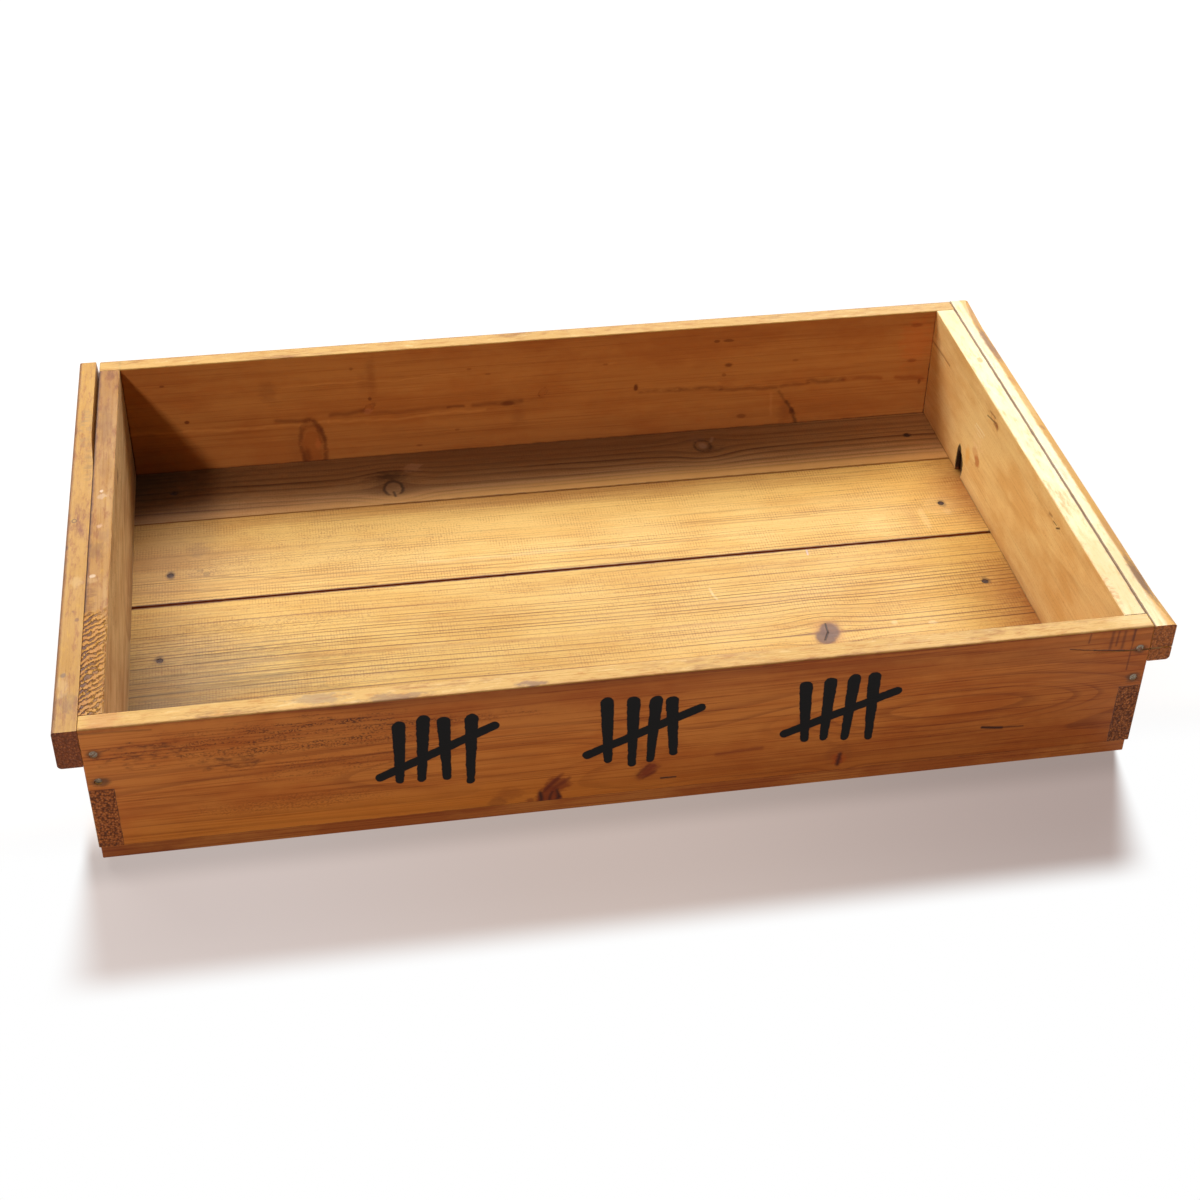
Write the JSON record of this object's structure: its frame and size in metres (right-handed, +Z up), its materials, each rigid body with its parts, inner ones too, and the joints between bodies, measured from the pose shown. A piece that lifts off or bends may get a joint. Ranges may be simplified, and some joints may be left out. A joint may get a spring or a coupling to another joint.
{
  "type": "wooden carrying tray",
  "caption": "Shallow open wooden tray with half-lapped nailed corners, a planked floor, hand rails along both ends and runners underneath.",
  "frame": {"origin": "middle of the surface that the tray stands on, under the runners", "axes": "+X to the right along the tray, seen from its front; +Y from the front board to the rear board; +Z up"},
  "size_m": [0.6266, 0.383, 0.0985],
  "materials": {
    "side_wood": "aged bare softwood with an amber-brown patina, worn smooth",
    "end_wood": "aged bare softwood, sawn, with a worn rim",
    "rail_wood": "aged bare softwood, polished by hands",
    "floor_wood": "honey-yellow planed softwood with fine growth rings",
    "runner_wood": "rough-sawn softwood, dirty from floors",
    "nail_steel": "dull, lightly rusted steel"
  },
  "bodies": {
    "root": {"front_board": "side_wood", "rear_board": "side_wood", "left_end_board": "end_wood", "right_end_board": "end_wood", "left_hand_rail": "rail_wood", "right_hand_rail": "rail_wood", "floor_board_front": "floor_wood", "floor_board_middle": "floor_wood", "floor_board_rear": "floor_wood", "left_runner": "runner_wood", "right_runner": "runner_wood", "front_corner_nails": "nail_steel", "rear_corner_nails": "nail_steel", "left_finger_nails": "nail_steel", "right_finger_nails": "nail_steel", "left_rail_nails": "nail_steel", "right_rail_nails": "nail_steel", "front_floor_nails": "nail_steel", "rear_floor_nails": "nail_steel", "left_end_floor_nails": "nail_steel", "right_end_floor_nails": "nail_steel", "left_runner_nails": "nail_steel", "right_runner_nails": "nail_steel"}
  },
  "joints": []
}
